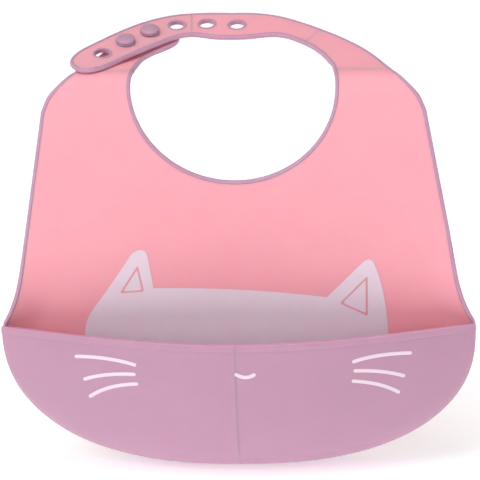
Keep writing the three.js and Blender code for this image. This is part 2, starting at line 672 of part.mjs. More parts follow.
// The knobs stand on the knob strap, under the rings that they hold.
[['knob_1', 'ring_knob_1'], ['knob_2', 'ring_knob_2']].forEach(([name, ring]) => {
  const top = holeTop(ring);
  const y = top.y - PANEL_FRONT_Y;
  const spread = (holeStrapLift(top.x) - knobStrapLift(top.x, y)) * Math.sin(FOLD_ANGLE);
  const button = addPiece(name, knob(spread), LILAC, 0.5);
  button.position.copy(top).addScaledVector(STRAP_DOWN, spread);
  button.quaternion.copy(STRAP_TILT);
});

export default bib;
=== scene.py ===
"""Looks of a silicone catch bib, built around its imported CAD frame.

Every size below is in millimetres in the bib's own measure: x across, y back from the chest
sheet's front face, z up from the lowest point of the neckline. placed() turns it into metres.
"""
import logging
import math
from bisect import bisect_right
from collections.abc import Callable, Sequence
from dataclasses import dataclass, field
from enum import Enum

import bmesh
import bpy
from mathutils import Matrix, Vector


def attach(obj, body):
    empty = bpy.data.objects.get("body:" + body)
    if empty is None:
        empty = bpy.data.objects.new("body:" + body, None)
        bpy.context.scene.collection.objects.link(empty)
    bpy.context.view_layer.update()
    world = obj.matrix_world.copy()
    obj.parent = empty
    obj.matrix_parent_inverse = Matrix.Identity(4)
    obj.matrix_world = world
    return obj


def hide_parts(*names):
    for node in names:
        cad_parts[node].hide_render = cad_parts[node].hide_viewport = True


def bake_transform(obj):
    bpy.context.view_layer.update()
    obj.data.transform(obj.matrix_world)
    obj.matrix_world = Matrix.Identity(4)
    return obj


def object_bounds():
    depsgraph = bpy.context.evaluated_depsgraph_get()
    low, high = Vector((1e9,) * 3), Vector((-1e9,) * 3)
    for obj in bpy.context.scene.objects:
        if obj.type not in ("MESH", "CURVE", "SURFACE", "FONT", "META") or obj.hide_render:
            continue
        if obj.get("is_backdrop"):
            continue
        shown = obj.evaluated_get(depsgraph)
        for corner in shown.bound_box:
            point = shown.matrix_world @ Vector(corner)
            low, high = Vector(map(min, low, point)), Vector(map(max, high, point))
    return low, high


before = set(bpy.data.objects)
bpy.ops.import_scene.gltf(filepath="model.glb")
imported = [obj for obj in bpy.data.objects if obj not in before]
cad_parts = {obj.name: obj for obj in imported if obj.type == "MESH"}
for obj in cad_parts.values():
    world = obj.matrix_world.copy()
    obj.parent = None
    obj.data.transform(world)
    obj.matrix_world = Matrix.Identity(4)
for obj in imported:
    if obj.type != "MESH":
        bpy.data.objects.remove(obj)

log = logging.getLogger("bib")
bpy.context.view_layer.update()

MM = 0.001
SHARP_ANGLE = math.radians(42)
SAME_PLACE = 0.001

Place = Callable[[float, float], Vector]
Line = tuple[tuple[float, float], ...]
Marks = dict[str, Line]


# ---- small mathematics

def lerp(a: float, b: float, t: float) -> float:
    """The value a share t of the way from a to b."""
    return a + (b - a) * t


def clamp(value: float, low: float, high: float) -> float:
    """The value held between low and high."""
    return min(max(value, low), high)


def smoothstep(value: float, low: float, high: float) -> float:
    """An eased 0 to 1 as the value goes from low to high."""
    t = clamp((value - low) / (high - low), 0.0, 1.0)
    return t * t * (3 - 2 * t)


class Spline:
    """A centripetal Catmull-Rom curve in the plane, read by its length."""

    def __init__(self, points: Sequence[tuple[float, float]]) -> None:
        """Keeps the points, mirrored past both ends, and measures the curve."""
        knots = [Vector(p) for p in points]
        self.knots = [knots[0] * 2 - knots[1], *knots, knots[-1] * 2 - knots[-2]]
        self.spans = len(knots) - 1
        steps = 60 * self.spans
        self.samples = [self.at(i / steps) for i in range(steps + 1)]
        self.lengths = [0.0]
        for before, after in zip(self.samples, self.samples[1:]):
            self.lengths.append(self.lengths[-1] + (after - before).length)

    @property
    def length(self) -> float:
        """The curve's whole length."""
        return self.lengths[-1]

    def at(self, t: float) -> Vector:
        """The point at t along the curve's own parameter, 0 to 1."""
        span = min(int(t * self.spans), self.spans - 1)
        weight = t * self.spans - span
        p = self.knots[span:span + 4]
        gaps = [max((b - a).length_squared ** 0.25, 1e-4) for a, b in zip(p, p[1:])]
        tangent = []
        for i in (0, 1):
            near, far = gaps[i], gaps[i + 1]
            slope = (p[i + 1] - p[i]) / near - (p[i + 2] - p[i]) / (near + far) + (p[i + 2] - p[i + 1]) / far
            tangent.append(slope * gaps[1])
        a, b = p[1], p[2]
        curve3 = a * 2 - b * 2 + tangent[0] + tangent[1]
        curve2 = a * -3 + b * 3 - tangent[0] * 2 - tangent[1]
        return ((curve3 * weight + curve2) * weight + tangent[0]) * weight + a

    def along(self, distance: float) -> Vector:
        """The point this far along the curve."""
        distance = clamp(distance, 0.0, self.length)
        low = min(bisect_right(self.lengths, distance) - 1, len(self.lengths) - 2)
        share = (distance - self.lengths[low]) / max(self.lengths[low + 1] - self.lengths[low], 1e-9)
        return self.samples[low].lerp(self.samples[low + 1], share)

    def heading(self, distance: float) -> Vector:
        """The unit direction this far along the curve."""
        step = 0.4
        low = clamp(distance - step, 0.0, self.length - 2 * step)
        return (self.along(low + 2 * step) - self.along(low)).normalized()


# ---- the bib's form

FACE_Y = -30.0
NECKLINE_Z = -56.0
LIP_Z = -72.0


def placed(x: float, y: float, z: float) -> Vector:
    """A point of the bib's own measure, in metres in the row frame."""
    return Vector((x, y + FACE_Y, z + NECKLINE_Z)) * MM


@dataclass(frozen=True)
class SheetForm:
    """The chest sheet's surface: flat, folded back at the shoulders, curled at the pocket's ends."""

    thickness: float = 2.0
    bead_width: float = 2.2
    bead_height: float = 2.6
    fold_start_z: float = 43.5
    fold_radius: float = 11.0
    fold_angle: float = math.radians(76)
    shoulder_y: float = 10.0
    neck_half_width: float = 50.5
    neck_drop: float = 49.0
    waist_half_width: float = 101.0
    side_taper: float = 0.165
    flare: float = 5.0
    flare_start_z: float = -40.0
    corner_half_width: float = 117.9
    pocket_depth: float = 75.0
    outline_power: float = 2.54
    curl: float = 9.5
    curl_band: float = 22.0
    curl_top_z: float = -22.0
    curl_bottom_z: float = -125.0
    shoulder_end: float = 0.2
    corner_end: float = 0.55

    @property
    def neck_centre_run(self) -> float:
        """Height of the neck opening's widest line, as a run up the sheet."""
        return self.neck_drop - self.fold_start_z

    @property
    def fold_end(self) -> tuple[float, float]:
        """(y, z) where the fold ends and the straps' sloping plane starts."""
        return (self.fold_radius * (1 - math.cos(self.fold_angle)),
                self.fold_start_z + self.fold_radius * math.sin(self.fold_angle))

    @property
    def shoulder_run(self) -> float:
        """Run up the sheet to the line where the straps start."""
        beyond = (self.shoulder_y - self.fold_end[0]) / math.sin(self.fold_angle)
        return self.fold_radius * self.fold_angle + beyond

    def half_width(self, z: float) -> float:
        """The outline's half width at a height."""
        if z > LIP_Z:
            flare = clamp((self.flare_start_z - z) / (self.flare_start_z - LIP_Z), 0.0, 1.0)
            return self.waist_half_width - self.side_taper * z + self.flare * flare ** 3
        drop = clamp((LIP_Z - z) / self.pocket_depth, 0.0, 1.0)
        return self.corner_half_width * (1 - drop ** self.outline_power) ** (1 / self.outline_power)

    def curl_at(self, x: float, z: float) -> float:
        """How far the sheet curls forward at (x, z)."""
        if z > self.curl_top_z or z < self.curl_bottom_z:
            return 0.0
        if z > LIP_Z:
            rise = smoothstep(self.curl_top_z - z, 0.0, self.curl_top_z - LIP_Z)
        else:
            rise = smoothstep(z - self.curl_bottom_z, 0.0, LIP_Z - self.curl_bottom_z)
        inside = clamp((self.half_width(z) - abs(x)) / self.curl_band, 0.0, 1.0)
        return self.curl * rise * (1 - inside) ** 2

    def point(self, x: float, run: float, depth: float = 0.0) -> Vector:
        """A point of the folded sheet.

        Args:
            x: place across the bib.
            run: distance up the front face, over the fold, from the fold's start.
            depth: distance through the sheet from its front face.

        Returns:
            The point in metres in the row frame.
        """
        angle = clamp(run / self.fold_radius, 0.0, self.fold_angle)
        beyond = max(0.0, run - self.fold_radius * self.fold_angle)
        reach = self.fold_radius - depth
        y = self.fold_radius - reach * math.cos(angle) + beyond * math.sin(self.fold_angle)
        z = self.fold_start_z + min(run, 0.0) + reach * math.sin(angle) + beyond * math.cos(self.fold_angle)
        curl = self.curl_at(x, self.fold_start_z + min(run, 0.0)) if run < 0 else 0.0
        return placed(x, y - curl, z)

    def outline(self, s: float) -> Vector:
        """(x, run) on the right half of the outline: 0 at the shoulder, 1 at the lowest point."""
        if s <= self.shoulder_end:
            return SHOULDER_LINE.at(s / self.shoulder_end)
        if s <= self.corner_end:
            share = (s - self.shoulder_end) / (self.corner_end - self.shoulder_end)
            z = lerp(self.fold_start_z - 7, LIP_Z, share)
            return Vector((self.half_width(z), z - self.fold_start_z))
        turn = (s - self.corner_end) / (1 - self.corner_end) * math.pi / 2
        x = self.corner_half_width * max(math.cos(turn), 0.0) ** (2 / self.outline_power)
        z = LIP_Z - self.pocket_depth * math.sin(turn) ** (2 / self.outline_power)
        return Vector((x, z - self.fold_start_z))

    def inset_outline(self, s: float, inset: float) -> Vector:
        """The outline drawn in by an inset."""
        step = 0.004
        along = (self.outline(min(s + step, 1.0)) - self.outline(max(s - step, 0.0))).normalized()
        return self.outline(s) + Vector((along.y, -along.x)) * inset

    def neck(self, s: float, inset: float) -> Vector:
        """(x, run) on the right half of the neck opening, drawn out by an inset."""
        top = math.asin((self.shoulder_run - self.neck_centre_run) / (self.neck_drop + inset))
        stops = ((0.0, top), (self.shoulder_end, -0.04), (self.corner_end, -0.84), (1.0, -math.pi / 2))
        below, above = next((a, b) for a, b in zip(stops, stops[1:]) if s <= b[0])
        angle = lerp(below[1], above[1], (s - below[0]) / (above[0] - below[0]))
        return Vector((max(0.0, (self.neck_half_width + inset) * math.cos(angle)),
                       self.neck_centre_run + (self.neck_drop + inset) * math.sin(angle)))


SHEET = SheetForm()
SHOULDER_LINE = Spline((
    (78.2, SHEET.shoulder_run), (85.4, 8.2), (91.4, 1.0), (SHEET.half_width(SHEET.fold_start_z - 7), -7.0),
))


@dataclass(frozen=True)
class PocketForm:
    """The catch pocket's wall: bowed forward, with a full round foot."""

    corner_lip_y: float = -12.0
    lip_reach: float = 28.0
    profile_power: float = 2.6
    wall: float = 2.0

    def lip_y(self, x: float) -> float:
        """How far forward the lip stands at x."""
        return self.corner_lip_y - self.lip_reach * math.cos(math.pi * x / (2 * SHEET.corner_half_width))

    def height(self, x: float) -> float:
        """The wall's height at x."""
        across = clamp(abs(x) / SHEET.corner_half_width, 0.0, 1.0)
        return SHEET.pocket_depth * (1 - across ** SHEET.outline_power) ** (1 / SHEET.outline_power)

    def seam_y(self, x: float) -> float:
        """Where the wall meets the chest sheet at x."""
        return -SHEET.curl_at(x, LIP_Z - self.height(x))

    def point(self, x: float, turn: float) -> Vector:
        """A point of the outside in the bib's measure: turn 0 is the lip, a quarter turn the seam."""
        depth = max(math.cos(turn), 0.0) ** (2 / self.profile_power)
        drop = math.sin(turn) ** (2 / self.profile_power)
        seam = self.seam_y(x)
        return Vector((x, seam + (self.lip_y(x) - seam) * depth, LIP_Z - self.height(x) * drop))

    def turn_below_lip(self, x: float, distance: float) -> float:
        """The turn that lies this far below the lip."""
        share = clamp(distance / max(self.height(x), 1e-3), 0.0, 1.0)
        return math.asin(share ** (self.profile_power / 2))

    def normal(self, x: float, turn: float) -> Vector:
        """The outward direction at a point of the wall."""
        step = 0.006
        low = clamp(turn - step, 0.0005, math.pi / 2 - 2 * step - 0.0005)
        x = clamp(x, -SHEET.corner_half_width + 0.3, SHEET.corner_half_width - 0.3)
        across = self.point(x + 0.1, turn) - self.point(x - 0.1, turn)
        down = self.point(x, low + 2 * step) - self.point(x, low)
        return -across.cross(down).normalized()

    def on_wall(self, x: float, z: float) -> tuple[Vector, Vector]:
        """The outside's point and outward direction at (x, z)."""
        turn = self.turn_below_lip(x, LIP_Z - z)
        return self.point(x, turn), self.normal(x, turn)


POCKET = PocketForm()


@dataclass(frozen=True)
class StrapForm:
    """One strap of the neck loop, ruled across its middle line in plan."""

    line: Spline
    side: int
    neck: tuple[float, float]
    widths: tuple[tuple[float, float, float], ...] = ()
    shoulder: float = 14.45
    tip_length: float = 14.0
    tip_roundness: float = 0.8
    ruled_share: float = 0.15

    @property
    def length(self) -> float:
        """The strap's length from the shoulder to its tip."""
        return self.line.length

    def half(self, distance: float) -> float:
        """The half width this far along, before the tip is rounded."""
        length, narrow = self.neck
        half = lerp(narrow, self.shoulder, (1 - clamp(distance / length, 0.0, 1.0)) ** 2)
        for start, end, width in self.widths:
            half = lerp(half, width, smoothstep(distance, start, end))
        return half

    def lift(self, x: float, y: float) -> float:
        """How far the strap's top lies above the plane behind the shoulders."""
        if self.side > 0:
            return STRAP_LIFT * (1 - smoothstep(x, -75.0, -20.0))
        return -STRAP_LIFT * smoothstep(y, 11.0, 30.0)

    def point(self, distance: float, offset: float, depth: float = 0.0) -> Vector:
        """A point of the strap in metres.

        Args:
            distance: how far along the middle line.
            offset: how far outward from it.
            depth: how far down through the strap from its top.

        Returns:
            The point in the row frame.
        """
        centre = self.line.along(distance)
        heading = self.line.heading(distance)
        outward = Vector((heading.y, -heading.x)) * self.side
        square = Vector((float(self.side), 0.0))
        way = square.lerp(outward, smoothstep(distance / self.length, 0.0, self.ruled_share)).normalized()
        spot = centre + way * offset
        fold_y, fold_z = SHEET.fold_end
        z = fold_z + (spot.y - fold_y) / math.tan(SHEET.fold_angle) + self.lift(spot.x, spot.y)
        return placed(spot.x, spot.y, z) + STRAP_DOWN * depth * MM

    def rim(self, s: float, start: float, inset: float) -> tuple[float, float]:
        """(distance, offset) on the line round the tip, from the inner edge (0) to the outer edge (1)."""
        side = -1 if s < 0.5 else 1
        share = 1 - abs(2 * s - 1)
        end = self.length - inset
        bend = end - self.tip_length
        straight = (bend - start) / (bend - start + self.tip_length * 1.5)
        if share <= straight:
            distance = lerp(start, bend, share / straight)
            return distance, side * (self.half(distance) - inset)
        turn = (share - straight) / (1 - straight) * math.pi / 2
        full = self.half(bend) - inset
        reach = full * max(math.cos(turn), 0.0) ** self.tip_roundness
        return bend + self.tip_length * math.sin(turn), side * reach


STRAP_LIFT = 2.8
STRAP_DOWN = Vector((0.0, math.cos(SHEET.fold_angle), -math.sin(SHEET.fold_angle)))
HOLE_STRAP = StrapForm(
    line=Spline(((63.8, 10), (59.3, 18), (42.4, 36.8), (20.8, 49.6), (-3.9, 50.6), (-30, 50.4), (-78.7, 9))),
    side=1,
    neck=(47.0, 7.3),
    widths=((50.0, 80.0, 11.2), (88.0, 106.0, 9.6), (110.0, 130.0, 10.1)),
)
KNOB_STRAP = StrapForm(
    line=Spline(((-63.8, 10), (-59.8, 18), (-53.6, 31.8), (-42.7, 41.6), (-29.5, 47.6))),
    side=-1,
    neck=(36.0, 10.0),
)
FIRST_HOLE = 81.0
HOLE_PITCH = 15.2
HOLE_RADIUS = 4.3
BORE_RADIUS = 3.7
RING_RADIUS = 4.9
SHOULDER_BREAK = 40.0
LINE_OF_LIFT = 72.0
HOLES_BREAK = FIRST_HOLE + 1.5 * HOLE_PITCH
LINE_OF_TIP = 119.0
SHOULDER_BEND = (0.0, 15.0)
LIFT_BEND = (LINE_OF_LIFT - 7, LINE_OF_LIFT + 4)
TIP_BEND = (LINE_OF_TIP - 3.2, LINE_OF_TIP + 3.2)
STRAP_TILT = math.pi / 2 - SHEET.fold_angle


# ---- mesh work

def finished(name: str, bm: bmesh.types.BMesh, smooth: bool = True) -> bpy.types.Object:
    """Closes a bmesh into a named object at the origin.

    Args:
        name: the piece's name.
        bm: the mesh, which is freed.
        smooth: whether its faces are shaded smooth.

    Returns:
        The new object, linked to the scene.
    """
    bmesh.ops.recalc_face_normals(bm, faces=bm.faces)
    mesh = bpy.data.meshes.new(name)
    bm.to_mesh(mesh)
    bm.free()
    if smooth:
        mesh.shade_smooth()
        mesh.set_sharp_from_angle(angle=SHARP_ANGLE)
    piece = bpy.data.objects.new(name, mesh)
    bpy.context.collection.objects.link(piece)
    return piece


def laid_grid(bm: bmesh.types.BMesh, across: int, along: int, place: Place) -> None:
    """Adds a grid to bm and lays its corners by place(u, v), with u and v from 0 to 1."""
    made = bmesh.ops.create_grid(bm, x_segments=along, y_segments=across, size=0.5)
    for vert in made["verts"]:
        vert.co = place(clamp(vert.co.x + 0.5, 0.0, 1.0), clamp(vert.co.y + 0.5, 0.0, 1.0))


def weld(bm: bmesh.types.BMesh) -> None:
    """Joins corners that lie on each other."""
    bmesh.ops.remove_doubles(bm, verts=bm.verts, dist=2e-6)


def add_loft(bm: bmesh.types.BMesh, around: int, along: int, place: Place) -> None:
    """Adds a closed section swept along a route: v goes once round the section, u along the route."""
    part = bmesh.new()
    laid_grid(part, around, along, place)
    weld(part)
    ends = [edge for edge in part.edges if edge.is_boundary]
    if ends:
        bmesh.ops.holes_fill(part, edges=ends, sides=0)
    bmesh.ops.recalc_face_normals(part, faces=part.faces)
    mesh = bpy.data.meshes.new("loft")
    part.to_mesh(mesh)
    part.free()
    bm.from_mesh(mesh)
    bpy.data.meshes.remove(mesh)


def lofted(name: str, around: int, along: int, place: Place) -> bpy.types.Object:
    """A named object made of one loft."""
    bm = bmesh.new()
    add_loft(bm, around, along, place)
    return finished(name, bm)


def turned(name: str, profile: Sequence[tuple[float, float]], segments: int,
           closed: bool) -> bmesh.types.BMesh:
    """Spins a profile of (radius, height) about Z.

    Args:
        name: what the piece is called if the spin fails.
        profile: the profile's corners, in millimetres.
        segments: steps in the turn.
        closed: whether the profile joins its own start, as a ring's does.

    Returns:
        The spun bmesh, in metres.
    """
    bm = bmesh.new()
    verts = [bm.verts.new((r * MM, 0.0, z * MM)) for r, z in profile]
    pairs = list(zip(verts, verts[1:])) + ([(verts[-1], verts[0])] if closed else [])
    edges = [bm.edges.new(pair) for pair in pairs]
    bmesh.ops.spin(bm, geom=verts + edges, cent=(0, 0, 0), axis=(0, 0, 1), angle=2 * math.pi,
                   steps=segments, use_merge=True)
    bmesh.ops.remove_doubles(bm, verts=bm.verts, dist=1e-6)
    if not bm.faces:
        raise RuntimeError(f"{name} has no faces")
    return bm


def rounded_profile(corners: Sequence[tuple[float, float, float]], steps: int = 4,
                    closed: bool = False) -> list[tuple[float, float]]:
    """A profile whose corners are rounded.

    Args:
        corners: (radius, height, rounding) of each corner.
        steps: segments in each rounding.
        closed: whether the profile joins its own start.

    Returns:
        The profile's points.
    """
    points = []
    count = len(corners)
    for i, (r, z, rounding) in enumerate(corners):
        here = Vector((r, z))
        if rounding <= 0 or (not closed and i in (0, count - 1)):
            points.append((r, z))
            continue
        before = Vector(corners[i - 1][:2])
        after = Vector(corners[(i + 1) % count][:2])
        start = here + (before - here).normalized() * rounding
        end = here + (after - here).normalized() * rounding
        for k in range(steps + 1):
            t = k / steps
            point = start * (1 - t) ** 2 + here * 2 * t * (1 - t) + end * t ** 2
            points.append((point.x, point.y))
    return points


def tube(bm: bmesh.types.BMesh, centre: Callable[[float], Vector], down: Callable[[float], Vector],
         along: int, half_width: float, half_height: float, around: int = 16) -> None:
    """Adds a bead of oval section along centre(u), with down(u) through the sheet it edges."""
    step = 0.5 / along

    def place(u: float, v: float) -> Vector:
        """The bead's surface at u along and v round."""
        heading = (centre(min(u + step, 1.0)) - centre(max(u - step, 0.0))).normalized()
        through = down(u)
        across = heading.cross(through).normalized()
        turn = 2 * math.pi * v
        return (centre(u) + across * (half_width * MM * math.cos(turn))
                + through * (half_height * MM * math.sin(turn)))

    add_loft(bm, around, along, place)


# ---- finishes

def linear(code: str) -> tuple[float, float, float, float]:
    """An sRGB hex colour as linear RGBA."""
    parts = [int(code[i:i + 2], 16) / 255 for i in (1, 3, 5)]
    return (*(c / 12.92 if c <= 0.04045 else ((c + 0.055) / 1.055) ** 2.4 for c in parts), 1.0)


def add_node(tree: bpy.types.NodeTree, kind: str, settings: dict[str, object] | None = None,
             **inputs: object) -> bpy.types.Node:
    """Adds a shader node.

    Args:
        tree: the node tree it joins.
        kind: the node's type name.
        settings: values for the node's own properties.
        **inputs: socket names, with _ for a space, each with a value or an output to link.

    Returns:
        The new node.
    """
    node = tree.nodes.new(kind)
    for key, value in (settings or {}).items():
        setattr(node, key, value)
    for key, value in inputs.items():
        socket = node.inputs[key.replace("_", " ")]
        if isinstance(value, bpy.types.NodeSocket):
            tree.links.new(value, socket)
        else:
            socket.default_value = value
    return node


def bare_material(name: str) -> tuple[bpy.types.Material, bpy.types.NodeTree, bpy.types.NodeSocket]:
    """A new material, its emptied node tree and its object coordinates."""
    material = bpy.data.materials.new(name)
    material.use_nodes = True
    tree = material.node_tree
    tree.nodes.clear()
    return material, tree, add_node(tree, "ShaderNodeTexCoord").outputs["Object"]


@dataclass(frozen=True)
class Silicone:
    """Platinum-cured silicone rubber from a fine-blasted mould.

    It is soft, matt and a little translucent, so light spreads a few millimetres inside it: shaded
    places stay warm instead of going grey, and its highlights are broad and weak.
    """

    name: str
    colour: str
    glow: tuple[float, float, float]
    roughness: float = 0.47
    grain_mm: float = 0.5
    grain_height: float = 0.012
    wave_mm: float = 26.0
    wave_height: float = 0.05
    ior: float = 1.41

    def material(self) -> bpy.types.Material:
        """The finished material."""
        material, tree, place = bare_material(self.name)
        cloud = add_node(tree, "ShaderNodeTexNoise", Vector=place, Scale=1 / (18 * MM), Detail=2.0)
        tone = add_node(tree, "ShaderNodeMapRange", Value=cloud.outputs["Fac"],
                        From_Min=0.3, From_Max=0.7, To_Min=0.985, To_Max=1.015)
        tint = add_node(tree, "ShaderNodeHueSaturation", Value=tone.outputs["Result"],
                        Color=linear(self.colour))
        # The mould's blasting is finer than a tenth of a millimetre, so it is drawn coarser to show.
        grain = add_node(tree, "ShaderNodeTexNoise", Vector=place, Scale=1 / (self.grain_mm * MM), Detail=3.0)
        wave = add_node(tree, "ShaderNodeTexNoise", Vector=place, Scale=1 / (self.wave_mm * MM), Detail=1.0)
        soft = add_node(tree, "ShaderNodeBump", Height=wave.outputs["Fac"], Strength=1.0,
                        Distance=self.wave_height * MM)
        bump = add_node(tree, "ShaderNodeBump", Height=grain.outputs["Fac"], Strength=1.0,
                        Distance=self.grain_height * MM, Normal=soft.outputs["Normal"])
        rough = add_node(tree, "ShaderNodeMapRange", Value=grain.outputs["Fac"], From_Min=0.3, From_Max=0.7,
                         To_Min=self.roughness - 0.04, To_Max=self.roughness + 0.04)
        shader = add_node(tree, "ShaderNodeBsdfPrincipled", Base_Color=tint.outputs["Color"],
                          Roughness=rough.outputs["Result"], IOR=self.ior, Normal=bump.outputs["Normal"],
                          Subsurface_Weight=0.75, Subsurface_Radius=self.glow, Subsurface_Scale=0.0032)
        add_node(tree, "ShaderNodeOutputMaterial", Surface=shader.outputs["BSDF"])
        return material


@dataclass(frozen=True)
class ScreenInk:
    """Matt silicone ink, screen printed in one thin coat.

    It covers well but not fully, so a little of the colour under it shows as faint mottling.
    """

    name: str
    colour: str
    under: str
    mesh_mm: float = 0.6
    tooth_height: float = 0.015

    def material(self) -> bpy.types.Material:
        """The finished material."""
        material, tree, place = bare_material(self.name)
        mottle = add_node(tree, "ShaderNodeTexNoise", Vector=place, Scale=1 / (7 * MM), Detail=4.0)
        cover = add_node(tree, "ShaderNodeMapRange", Value=mottle.outputs["Fac"],
                         From_Min=0.3, From_Max=0.7, To_Min=0.0, To_Max=0.12)
        tint = add_node(tree, "ShaderNodeMix", {"data_type": "RGBA"})
        tree.links.new(cover.outputs["Result"], tint.inputs["Factor"])
        tint.inputs["A"].default_value = linear(self.colour)
        tint.inputs["B"].default_value = linear(self.under)
        tooth = add_node(tree, "ShaderNodeTexNoise", Vector=place, Scale=1 / (self.mesh_mm * MM), Detail=2.0)
        bump = add_node(tree, "ShaderNodeBump", Height=tooth.outputs["Fac"], Strength=1.0,
                        Distance=self.tooth_height * MM)
        shader = add_node(tree, "ShaderNodeBsdfPrincipled", Base_Color=tint.outputs["Result"], Roughness=0.55,
                          IOR=1.45, Normal=bump.outputs["Normal"], Subsurface_Weight=0.15,
                          Subsurface_Radius=(1.0, 0.5, 0.5), Subsurface_Scale=0.0015)
        add_node(tree, "ShaderNodeOutputMaterial", Surface=shader.outputs["BSDF"])
        return material


class Finish(Enum):
    """The finishes of the bib, by the record's slot names."""

    PINK = "pink_silicone"
    LILAC = "lilac_silicone"
    INK = "ink"


FINISHES = {
    Finish.PINK: Silicone("matt pink silicone", "#f1abb7", (1.0, 0.42, 0.36)),
    Finish.LILAC: Silicone("matt lilac silicone", "#c096ae", (1.0, 0.5, 0.62)),
    Finish.INK: ScreenInk("pale lilac screen ink", "#f1dae8", "#f0a9b6"),
}
MATERIALS = {finish: recipe.material() for finish, recipe in FINISHES.items()}


def dress(piece: bpy.types.Object, finish: Finish, *nodes: str) -> bpy.types.Object:
    """Gives a piece its finish and hides the CAD nodes that it stands for."""
    piece.data.materials.clear()
    piece.data.materials.append(MATERIALS[finish])
    if nodes:
        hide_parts(*nodes)
    log.info("%s: %d faces, %s", piece.name, len(piece.data.polygons), finish.value)
    return piece


# ---- sub-assemblies

@dataclass
class ChestSheet:
    """The chest sheet with its outer bead and the bead round the neck opening."""

    stations: int = 220
    rows: int = 30

    def around(self, u: float) -> tuple[float, int]:
        """(s, side) for u from the right shoulder (0) round the foot to the left one (1)."""
        return (2 * u, 1) if u <= 0.5 else (2 - 2 * u, -1)

    def sheet(self) -> bpy.types.Object:
        """The pink sheet, from the neck's bead out to the outer bead, with both faces."""
        inset = SHEET.bead_width / 2
        share = self.rows / (2 * self.rows + 2)

        def place(u: float, v: float) -> Vector:
            """The sheet's section: across its front, through its edge and back again."""
            s, side = self.around(u)
            inner, outer = SHEET.neck(s, inset), SHEET.inset_outline(s, inset)
            if s < 1e-6:
                outer = Vector((outer.x, inner.y))
            step = round(v * (2 * self.rows + 2))
            if step <= self.rows:
                t, depth = v / share, 0.0
            elif step <= 2 * self.rows + 1:
                t, depth = 1 - (v * (2 * self.rows + 2) - self.rows - 1) / self.rows, SHEET.thickness
            else:
                t, depth = 0.0, 0.0
            spot = inner.lerp(outer, clamp(t, 0.0, 1.0))
            return SHEET.point(side * spot.x, spot.y, depth)

        return lofted("chest_panel", 2 * self.rows + 2, self.stations, place)

    def bead(self, name: str, edge: Callable[[float, float], Vector], along: int) -> bpy.types.Object:
        """A round bead along one of the sheet's edges.

        Args:
            name: the piece's name.
            edge: the edge as (x, run) at (s, inset).
            along: stations along it.

        Returns:
            The bead.
        """
        def at(u: float, depth: float) -> Vector:
            """The bead's middle line in plan, at a depth in the sheet."""
            s, side = self.around(u)
            spot = edge(s, SHEET.bead_width / 2)
            return SHEET.point(side * spot.x, spot.y, depth)

        bm = bmesh.new()
        tube(bm, lambda u: at(u, SHEET.thickness / 2),
             lambda u: (at(u, SHEET.thickness) - at(u, 0.0)).normalized(),
             along, SHEET.bead_width / 2, SHEET.bead_height / 2)
        return finished(name, bm)

    def build(self) -> None:
        """Builds and dresses the chest sheet and its beads."""
        sheet = dress(self.sheet(), Finish.PINK, "chest_sheet")
        outer = dress(self.bead("outer_bead", SHEET.inset_outline, 300), Finish.LILAC, "edge_bead")
        neck = dress(self.bead("neckline_bead", SHEET.neck, 160), Finish.LILAC, "neck_bead")
        for piece in (sheet, outer, neck):
            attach(piece, "bib")


@dataclass
class CatchPocket:
    """The lilac pocket in two halves, each from its end to the middle of its front."""

    lip_bead: float = 3.0
    lip_swell: float = 0.5
    lip_rise: float = 0.45
    end_taper: float = 7.0
    columns: int = 110
    outside_rows: int = 40
    still_x: float = SHEET.corner_half_width
    moving_x: float = 8.0
    sides: tuple[tuple[str, int], ...] = (("left", -1), ("right", 1))

    def section(self, x: float) -> list[Vector]:
        """The wall's closed section at x, from the seam up the outside, over the lip and down inside."""
        turns = [POCKET.turn_below_lip(x, d) for d in (0.3, 1.2, 2.2, self.lip_bead, self.lip_bead + 0.4)]
        last = turns[-1]
        lower = [lerp(last, math.pi / 2, i / self.outside_rows) for i in range(self.outside_rows + 1)]
        swell = [self.lip_swell * share for share in (0.55, 0.95, 1.0, 0.9, 0.0)]
        slim = lerp(0.45, 1.0, smoothstep(SHEET.corner_half_width - abs(x), 0.0, self.end_taper))
        outside = list(zip(turns[:-1], swell[:-1])) + [(turn, 0.0) for turn in lower]
        points = []
        for turn, proud in reversed(outside):
            points.append(POCKET.point(x, turn) + POCKET.normal(x, turn) * proud * slim)
        top = POCKET.point(x, 0.0)
        inward = -POCKET.normal(x, 0.0)
        width = (POCKET.wall + 2 * self.lip_swell) * slim
        for k in range(1, 6):
            turn = math.pi * k / 6
            middle = top + inward * (POCKET.wall / 2 * slim)
            rise = Vector((0, 0, self.lip_rise * math.sin(turn)))
            points.append(middle - inward * (width / 2 * math.cos(turn)) + rise)
        for turn, proud in outside:
            point = POCKET.point(x, turn)
            points.append(point - POCKET.normal(x, turn) * (POCKET.wall + proud) * slim)
        return points

    def half(self, name: str, side: int) -> bpy.types.Object:
        """One half of the pocket's wall, from its end to the middle."""
        cache: dict[float, list[Vector]] = {}
        count = len(self.section(0.0))

        def place(u: float, v: float) -> Vector:
            """The wall's section, swept from the end towards the middle."""
            if u not in cache:
                turn = lerp(0.012, math.pi / 2, u)
                across = math.cos(turn) ** (2 / SHEET.outline_power) if u < 1 else 0.0
                cache[u] = self.section(side * SHEET.corner_half_width * across)
            return placed(*cache[u][round(v * count) % count])

        return lofted(name, count, self.columns, place)

    def bend(self, piece: bpy.types.Object, side: int) -> None:
        """Bakes a piece's transform into its mesh."""
        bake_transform(piece)

    def build(self) -> None:
        """Builds and dresses both halves."""
        stands_for = {
            "left": ("pocket_corner_left", "pocket_flank_left", "pocket_front"),
            "right": ("pocket_corner_right", "pocket_flank_right"),
        }
        for word, side in self.sides:
            wall = dress(self.half(f"pocket_{word}_half", side), Finish.LILAC, *stands_for[word])
            self.bend(wall, side)


